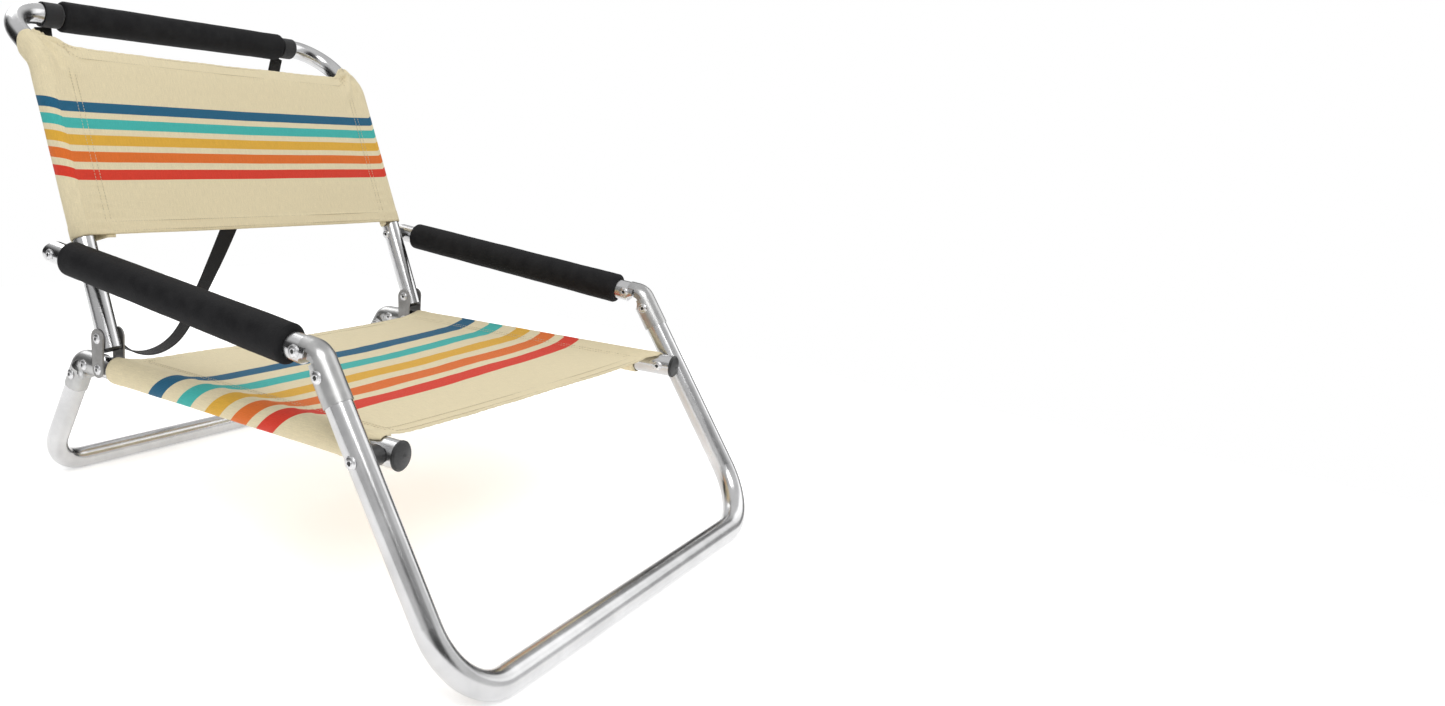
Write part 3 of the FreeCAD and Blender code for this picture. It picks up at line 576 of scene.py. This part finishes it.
def stitch_rows(name, sling, low_edge, high_edge, body):
    """Two rows of stitches along each sleeve and each hem, on both faces of the cloth."""
    spacing = 0.0037
    stitch = (0.0026, 0.0006, 0.0004)       # length, width, height
    seam_lift, hem_lift = 0.00062, 0.00105
    places = []

    def ends(x):
        return low_edge(x, sling.height(x), "panel"), high_edge(x, sling.height(x), "panel")

    def add(x, v, lengthwise):
        step = 0.001
        here = sling.point(x, sling.height(x), v)
        towards_v = (sling.point(x, sling.height(x), v + step) - here).normalized()
        towards_x = (sling.point(x + step, sling.height(x + step), v) - here).normalized()
        normal = towards_x.cross(towards_v).normalized()
        direction, side = (towards_v, towards_x) if lengthwise else (towards_x, towards_v)
        lift = seam_lift if lengthwise else hem_lift
        for outward in (normal, -normal):
            places.append((here + outward * lift, direction, side, outward, *stitch))

    for sign in (-1, 1):
        for inset in (0.0015, 0.0085):
            x = INNER - SEAM_INSET - inset
            low, high = ends(x)
            for k in range(int((high - low - 0.008) / spacing)):
                add(sign * x, low + 0.004 + spacing * k, True)
    span = INNER - 0.034
    for inset in (0.0035, 0.0145):
        for k in range(int(2 * span / spacing)):
            x = -span + spacing * k
            low, high = ends(x)
            add(x, low + inset, False)
            add(x, high - inset, False)
    points, faces = tiny_boxes(places)
    mesh_piece(name, points, faces, CREAM_THREAD, body, rounded=False)


# The hems' places along the tubes, measured from each sling's pivot. Where the cloth meets a tube's bend or
# another part, the edge moves with x (across) and z (height round the tube).
SEAT_FRONT, SEAT_FRONT_CORNER, SEAT_OPEN_BELOW = 0.012, 0.002, 0.030
SEAT_REAR = 0.374
BACK_LOW, BACK_LOW_TUCK = 0.1125, 0.1095
BACK_HIGH, BACK_HIGH_CORNER = 0.336, 0.362


def seat_front(x, z, zone):
    """The sleeves are open below at the front, clear of the leg's pivot; only their tops reach over it."""
    reach = SEAT_OPEN_BELOW - SEAT_FRONT_CORNER
    if zone == "tuck":
        return SEAT_OPEN_BELOW
    if zone == "sleeve":
        return SEAT_OPEN_BELOW - reach * smooth(z, 0.0075, 0.0115)
    return SEAT_FRONT - (SEAT_FRONT - SEAT_FRONT_CORNER) * smooth(abs(x), INNER - 0.020, INNER - 0.0065)


def seat_rear(x, z, zone):
    return SEAT_REAR


def back_low(x, z, zone):
    return BACK_LOW_TUCK if zone == "tuck" else BACK_LOW


def back_high(x, z, zone):
    """The top hem climbs the tubes' bend at its corners."""
    if zone == "tuck":
        return BACK_HIGH
    if zone == "sleeve":
        return BACK_HIGH_CORNER - 0.012 * smooth(-z, -0.012, 0.012)
    return BACK_HIGH + (BACK_HIGH_CORNER - BACK_HIGH) * smooth(abs(x), INNER - 0.048, INNER - 0.004)


def build_slings():
    fold_corner = 0.350         # where the creases of the back's top corners start, along the tubes
    seat = Sling(SEAT_PIVOT, REARWARD, SEAT_UP, rise=0.0072, sag=0.003, ramp=0.05, slant=(0.013, 0.045))
    back = Sling(BACK_PIVOT, BACK_UP, BACK_FRONT, rise=0.0125, sag=0.002, ramp=0.03, slant=(0.003, 0.020),
                 bend=(0.3122, 0.045, math.radians(31.7)))
    cloth_piece("seat_cloth", seat, seat_front, seat_rear, SEAT_CLOTH, "seat", "seat_sling")
    cloth_piece("back_cloth", back, back_low, back_high, BACK_CLOTH, "backrest", "back_sling", fold_corner)
    stitch_rows("seat_stitches", seat, seat_front, seat_rear, "seat")
    stitch_rows("back_stitches", back, back_low, back_high, "backrest")


# ---------------------------------------------------------------- foam grips
FOAM_R = 0.0185
FOAM_SIDES = 72


def foam_skin(along, around, seed):
    """How far the skin stands out: soft unevenness, less a mould line down one side."""
    spot = Vector((along * 26, math.cos(around) * 1.3, math.sin(around) * 1.3 + seed))
    mould_line = math.exp(-((around - 4.4) / 0.035) ** 2)
    return noise.noise(spot) * 0.00035 + noise.noise(spot * 5) * 0.00012 - 0.00022 * mould_line


def foam_grip(name, start, end, body, node, seed):
    """Foam sleeve pulled over a tube: soft round ends, a faint mould line and a slightly uneven skin."""
    axis = end - start
    length = axis.length
    axis.normalize()
    side = axis.cross(Vector((0, 0.31, 0.95))).normalized()
    other = axis.cross(side)
    inner = TUBE_R + 0.0001
    lip, lip_steps, spacing = 0.0042, 8, 0.0035
    stations = [(0.0, inner), (0.0, inner + 0.0012)]
    for k in range(lip_steps + 1):
        a = math.pi / 2 * k / lip_steps
        stations.append((lip * (1 - math.cos(a)), FOAM_R - lip * (1 - math.sin(a))))
    tail = [(length - along, r) for along, r in reversed(stations)]
    count = int(length / spacing)
    stations += [(lip + (length - 2 * lip) * k / count, FOAM_R) for k in range(1, count)]
    rings = []
    for along, r in stations + tail:
        ring = []
        for c in range(FOAM_SIDES):
            a = 2 * math.pi * c / FOAM_SIDES
            outward = side * math.cos(a) + other * math.sin(a)
            uneven = foam_skin(along, a, seed) if r > inner + 0.002 else 0.0
            ring.append(start + axis * along + outward * (r + uneven))
        rings.append(ring)
    points, faces = loft(rings, caps=False)
    last = (len(rings) - 1) * FOAM_SIDES
    for c in range(FOAM_SIDES):
        nxt = (c + 1) % FOAM_SIDES
        faces.append((last + c, last + nxt, nxt, c))
    grip = mesh_piece(name, points, faces, MATERIALS["black_foam"], body)
    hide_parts(node)


def arm_line(side_name, sign):
    """Ends of an arm's foam, on the arm's axis, from the box of the CAD grip."""
    low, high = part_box("arm_grip_" + side_name)
    pivot = Vector(JOINTS["arm_%s_swing" % side_name]["pos_m"])
    elbow_rivet = sum(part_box("arm_rivet_" + side_name), Vector()) / 2
    direction = pivot - elbow_rivet
    direction.x = 0
    direction.normalize()
    middle = (low + high) / 2
    half = ((high.y - low.y) - 2 * FOAM_R * abs(direction.z)) / (2 * direction.y)
    centre = Vector((sign * OUTER, middle.y, middle.z))
    return centre - direction * half, centre + direction * half


def build_grips():
    for seed, (side_name, sign) in enumerate((("left", 1), ("right", -1))):
        start, end = arm_line(side_name, sign)
        foam_grip("arm_foam_" + side_name, start, end, "arm_" + side_name, "arm_grip_" + side_name,
                  3.0 * seed)
    start = Vector((HEAD_LOW.x, HEAD_CENTRE.y, HEAD_CENTRE.z))
    end = Vector((HEAD_HIGH.x, HEAD_CENTRE.y, HEAD_CENTRE.z))
    foam_grip("headrest_foam", start, end, "backrest", "headrest_grip", 9.0)


# ---------------------------------------------------------------- shoulder strap
STRAP_WIDTH = 0.024
STRAP_THICK = 0.0017
# Points of the strap: x, z, and how far behind the handle bar's axis it lies where it leaves the wraps.
STRAP_ROUTE = [(0.205, 0.527, 0.0145), (0.187, 0.462, 0.010), (0.163, 0.388, 0), (0.133, 0.312, 0),
               (0.098, 0.238, 0), (0.059, 0.167, 0), (0.030, 0.118, 0), (0.001, 0.098, 0),
               (-0.033, 0.092, 0), (-0.067, 0.101, 0), (-0.094, 0.123, 0), (-0.117, 0.172, 0),
               (-0.144, 0.248, 0), (-0.168, 0.328, 0), (-0.187, 0.410, 0), (-0.200, 0.478, 0.010),
               (-0.205, 0.527, 0.0145)]
WIDE = Vector((0, 1, 0))        # the way of the strap's width, where it hangs free


def strap_line():
    """Points of the strap's smooth line, read from its spline."""
    curve = bpy.data.curves.new("strap_line", "CURVE")
    curve.dimensions = "3D"
    curve.resolution_u = 12
    spline = curve.splines.new("NURBS")
    spline.points.add(len(STRAP_ROUTE) - 1)
    for point, (x, z, behind) in zip(spline.points, STRAP_ROUTE):
        point.co = (x, HEAD_CENTRE.y + behind, z, 1)
    spline.order_u = 3
    spline.use_endpoint_u = True
    holder = bpy.data.objects.new("strap_line", curve)
    mesh = bpy.data.meshes.new_from_object(holder)
    line = [v.co.copy() for v in mesh.vertices]
    bpy.data.objects.remove(holder)
    bpy.data.meshes.remove(mesh)
    bpy.data.curves.remove(curve)
    return line


def ribbon_section():
    """Cross-section of the strap: flat, with slightly thicker edges."""
    half = STRAP_WIDTH / 2
    points_across = 24
    section = []
    for side in (1, -1):
        for k in range(points_across + 1):
            t = side * (2 * k / points_across - 1)
            selvedge = 0.00018 * math.exp(-((abs(t) - 0.93) / 0.04) ** 2)
            section.append((t * half * 0.97, side * (STRAP_THICK / 2 + selvedge)))
        section.append((side * half, side * STRAP_THICK * 0.2))
        section.append((side * half, -side * STRAP_THICK * 0.2))
    return section


def strap_stitches(line):
    """A box of stitches with a cross in it, where each end of the strap is sewn down."""
    stitch = (0.0022, 0.0006, 0.00035)      # length, width, height
    rows, reach = 7, 4                      # stitches down the strap, and to each side of its middle
    places = []
    for tip, inward in ((line[0], line[3]), (line[-1], line[-4])):
        down = (inward - tip).normalized()
        across = down.cross(WIDE).normalized()
        out = across.cross(down)
        for row in range(rows):
            for column in range(-reach, reach + 1):
                if row in (0, rows - 1) or abs(column) in (reach, abs(row - rows // 2) + 1):
                    spot = tip + down * (0.010 + row * 0.0027) + across * column * 0.0022
                    for side in (1, -1):
                        places.append((spot + out * side * 0.00095, down, across, out * side, *stitch))
    points, faces = tiny_boxes(places)
    return mesh_piece("strap_stitches", points, faces, BLACK_THREAD, "backrest",
                      rounded=False)


def build_strap():
    line = strap_line()
    section = ribbon_section()
    total = sum((b - a).length for a, b in zip(line, line[1:]))
    rings, uvs, travelled = [], [], 0.0
    for k, here in enumerate(line):
        before, after = line[max(k - 1, 0)], line[min(k + 1, len(line) - 1)]
        travelled += (here - before).length if k else 0
        ahead = (after - before).normalized()
        # The webbing hangs from the bar with its width along the bar, and twists square to the bar below.
        from_end = min(travelled, total - travelled) / total
        twist = math.pi / 2 * (1 - smooth(from_end, 0.06, 0.44))
        lean = -twist if travelled < total / 2 else twist
        normal = ahead.cross(WIDE).normalized()
        across = (WIDE * math.cos(lean) + normal * math.sin(lean)).normalized()
        out = ahead.cross(across).normalized()
        rings.append([here + across * a + out * b for a, b in section])
        uvs += [(a, travelled) for a, b in section]
    points, faces = loft(rings)
    strap = mesh_piece("shoulder_webbing", points, faces, MATERIALS["black_webbing"], "backrest",
                       uvs)
    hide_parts("shoulder_strap")
    for piece in (strap, strap_stitches(line)):
        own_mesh(piece)


def build_wraps():
    """Webbing wound round the handle bar beside the foam, where each end of the strap is sewn."""
    turns, steps, thick = 1.3, 110, 0.0011
    columns, margin = 15, 0.0008
    for side_name, sign in (("left", 1), ("right", -1)):
        low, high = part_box("strap_wrap_" + side_name)
        rings, uvs = [], []
        for k in range(steps + 1):
            wound = k / steps
            a = 2 * math.pi * turns * (wound - 1)
            direction = Vector((0, math.cos(a), math.sin(a)))
            r = TUBE_R + 0.0003 + thick * (0.5 + turns * wound * 1.04)
            slip = 0.0006 * math.sin(k * 0.35 + sign)
            outer, inner = [], []
            for c in range(columns):
                t = c / (columns - 1)
                off_middle = abs(2 * t - 1)
                x = low.x + margin + (high.x - low.x - 2 * margin) * t
                sunk = 0.07 * thick * off_middle ** 10      # the webbing thins towards its edges
                for row, place, radius in ((outer, x + slip * (1 - off_middle), r + thick * 0.48 - sunk),
                                           (inner, x, r - thick * 0.48)):
                    row.append(Vector((place, HEAD_CENTRE.y, HEAD_CENTRE.z)) + direction * radius)
            rings.append(outer + inner[::-1])
            across = [c / (columns - 1) * STRAP_WIDTH for c in range(columns)]
            uvs += [(u, k * 0.0016) for u in across + across[::-1]]
        points, faces = loft(rings)
        wrap = mesh_piece("bar_wrap_" + side_name, points, faces, MATERIALS["black_webbing"], "backrest",
                          uvs)
        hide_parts("strap_wrap_" + side_name)


# ---------------------------------------------------------------- small metal details
def ring_piece(name, centres, radius, tube, body):
    """Rolled steel rims round rivet heads, axis along X."""
    round_steps, tube_steps = 36, 10
    points, faces = [], []
    for centre in centres:
        rings = []
        for k in range(round_steps):
            a = 2 * math.pi * k / round_steps
            direction = Vector((0, math.cos(a), math.sin(a)))
            ring = []
            for c in range(tube_steps):
                b = 2 * math.pi * c / tube_steps
                ring.append(centre + direction * (radius + tube * math.cos(b))
                            + X_AXIS * tube * math.sin(b))
            rings.append(ring)
        rings.append(rings[0])
        ring_points, ring_faces = loft(rings, caps=False)
        base = len(points)
        points += ring_points
        faces += [tuple(i + base for i in face) for face in ring_faces]
    mesh_piece(name, points, faces, MATERIALS["rivet_steel"], body)


HEAD_RISE = 0.0019
COLLAR = (0.0054, 0.0006)       # radius of the ring, radius of its section
LIP = (0.0024, 0.00055)
HOLLOW = ((0.00005, 0.00012), (0.0012, 0.0001), (0.0021, 0.0001), (0.0024, -0.0004))     # radius, rise
# Rivets: node, body, and the x about which its two heads on the +X side are mirrored.
RIVETS = (("elbow_rivets", "front_legs", OUTER), ("back_pivot_rivets", "seat", INNER),
          ("plate_rivets", "seat", INNER), ("rear_hood_rivets", "seat", INNER),
          ("rear_sleeve_rivets", "rear_legs", INNER), ("front_leg_pivot_rivets", "seat", None),
          ("arm_pivot_rivets", "backrest", None), ("arm_rivet_left", "arm_left", OUTER),
          ("arm_rivet_right", "arm_right", OUTER))


def rivet_crowns(node, mirror_x):
    """The middle of each head's top, with the way it faces."""
    low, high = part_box(node)
    y, z = (low.y + high.y) / 2, (low.z + high.z) / 2
    outer = max(abs(low.x), abs(high.x))
    inner = 2 * mirror_x - outer if mirror_x else INNER - TUBE_R - HEAD_RISE
    sides = (1, -1)
    if node.startswith("arm_rivet"):
        sides = (1,) if high.x > 0 else (-1,)
    return [(Vector((side * x, y, z)), X_AXIS * side * way) for side in sides
            for x, way in ((outer, 1), (inner, -1))]


def hollow_shade_piece(name, crowns, body):
    """The middles of tubular rivets: shallow dishes, painted near-black as the shade of their holes."""
    spokes = 24
    points, faces = [], []
    for crown, outward in crowns:
        base = len(points)
        for radius, rise in HOLLOW:
            for k in range(spokes):
                a = 2 * math.pi * k / spokes
                spoke = Vector((0, math.cos(a), math.sin(a)))
                points.append(crown + outward * rise + spoke * radius)
        for r in range(len(HOLLOW) - 1):
            row = base + r * spokes
            for k in range(spokes):
                nxt = (k + 1) % spokes
                faces.append((row + k, row + nxt, row + spokes + nxt, row + spokes + k))
        last = base + (len(HOLLOW) - 1) * spokes
        faces.append(tuple(base + k for k in range(spokes)))
        faces.append(tuple(last + k for k in reversed(range(spokes))))
    mesh_piece(name, points, faces, MATERIALS["rivet_hollow"], body)


def build_rivet_eyes():
    """Each rivet head gets a rolled collar and a hollow middle painted with shade, with a raised lip round
    it.
    """
    lip_sunk = 0.0001
    for node, body, mirror_x in RIVETS:
        crowns = rivet_crowns(node, mirror_x)
        ring_piece(node + "_collars", [c - n * HEAD_RISE for c, n in crowns], *COLLAR, body)
        ring_piece(node + "_lips", [c - n * lip_sunk for c, n in crowns], *LIP, body)
        hollow_shade_piece(node + "_painted_shade_hollows", crowns, body)


# ---------------------------------------------------------------- CAD materials
def dress_cad():
    for item in frame["record"]["subparts"]:
        node = frame["nodes"][item["node"]]
        material = MATERIALS.get(item["material_slot"])
        if item["node"].startswith("hinge_plates"):
            material = MATERIALS["plate_grey"]
        if material is None:
            material = SEAT_CLOTH if item["node"] == "seat_sling" else BACK_CLOTH
        node.data.materials.clear()
        node.data.materials.append(material)


# ---------------------------------------------------------------- studio
def studio_world():
    """White behind the chair; bright overhead and darker bands round the sides for the metal to reflect."""
    world = bpy.data.worlds.new("studio")
    world.use_nodes = True
    s = Nodes(world.node_tree)
    white = s.tree.nodes["Background"]
    white.inputs["Color"].default_value = (1, 1, 1, 1)
    white.inputs["Strength"].default_value = 1.0
    room = s.node("ShaderNodeBackground")
    room.inputs["Strength"].default_value = 0.72
    direction = s.split(s.node("ShaderNodeTexCoord").outputs["Generated"])
    around = s.remap(s.maths("ARCTAN2", direction["Y"], direction["X"]), source=(-math.pi, math.pi))
    # Bands round the horizon and the glow overhead, as (share of the turn, grey) and (height, grey).
    bands = ((0.0, 0.9), (0.08, 1.0), (0.13, 0.03), (0.24, 0.03), (0.29, 1.2), (0.40, 1.2), (0.45, 0.04),
             (0.57, 0.04), (0.62, 1.1), (0.72, 1.1), (0.78, 0.03), (0.90, 0.03), (0.96, 0.9))
    overhead = ((0.0, 0.0), (0.42, 0.08), (0.66, 1.15))
    sides = s.ramp(around, [(place, (grey,) * 3) for place, grey in bands])
    height = s.ramp(direction["Z"], [(place, (grey,) * 3) for place, grey in overhead])
    s.link(s.blend("LIGHTEN", sides, height), room.inputs["Color"])
    seen = s.node("ShaderNodeLightPath")
    mix = s.node("ShaderNodeMixShader")
    s.link(seen.outputs["Is Camera Ray"], mix.inputs["Fac"])
    s.link(room.outputs["Background"], mix.inputs[1])
    s.link(white.outputs["Background"], mix.inputs[2])
    s.link(mix.outputs["Shader"], s.tree.nodes["World Output"].inputs["Surface"])
    bpy.context.scene.world = world


FLOOR_SIZE = 2.6
LIT_PLACE = Vector((0, 0, 0.25))        # what every lamp faces
LAMPS = (                               # name, place, side, watts
    ("key", (-1.6, -1.3, 2.3), 1.6, 36),
    ("fill", (2.2, -1.2, 1.6), 1.8, 12),
    ("back", (0.4, 2.4, 2.2), 1.6, 22),
)


def build_studio():
    bpy.ops.mesh.primitive_plane_add(size=FLOOR_SIZE, location=(0, 0, 0))
    floor = bpy.context.object
    floor.name = "floor"
    floor.data.materials.append(pale_floor())
    studio_world()
    for name, place, side, power in LAMPS:
        data = bpy.data.lights.new(name, "AREA")
        data.shape = "SQUARE"
        data.size = side
        data.energy = power
        lamp = bpy.data.objects.new(name, data)
        lamp.location = place
        lamp.rotation_euler = (LIT_PLACE - Vector(place)).to_track_quat("-Z", "Y").to_euler()
        bpy.context.scene.collection.objects.link(lamp)
    bpy.context.scene.view_settings.view_transform = "Standard"


CAMERA_PLACE = Vector((-0.90008, -0.72192, 0.45022))
CAMERA_AZIMUTH, CAMERA_ELEVATION, CAMERA_ROLL = 47.698, 12.301, 4.399       # degrees
CAMERA_LENS = 24.505            # millimetres, on a 36 mm sensor
CAMERA_SHIFT = (0.290, -0.0185)         # the chair stands left of the middle


def build_camera():
    """The viewing angle of the reference: low, from the front right of the sitter, slightly rolled."""
    azimuth, elevation, roll = (math.radians(a) for a in (CAMERA_AZIMUTH, CAMERA_ELEVATION, CAMERA_ROLL))
    forward = Vector((math.sin(azimuth) * math.cos(elevation), math.cos(azimuth) * math.cos(elevation),
                      -math.sin(elevation)))
    level = Vector((math.cos(azimuth), -math.sin(azimuth), 0))
    upright = level.cross(forward)
    right = level * math.cos(roll) + upright * math.sin(roll)
    up = right.cross(forward)
    data = bpy.data.cameras.new("camera")
    data.sensor_width = 36
    data.lens = CAMERA_LENS
    data.shift_x, data.shift_y = CAMERA_SHIFT
    camera = bpy.data.objects.new("camera", data)
    turn = Matrix((right, up, -forward)).transposed().to_4x4()
    camera.matrix_world = Matrix.Translation(CAMERA_PLACE) @ turn
    bpy.context.scene.collection.objects.link(camera)
    bpy.context.scene.camera = camera


dress_cad()
build_slings()
build_grips()
build_wraps()
build_strap()
build_rivet_eyes()
build_studio()
build_camera()
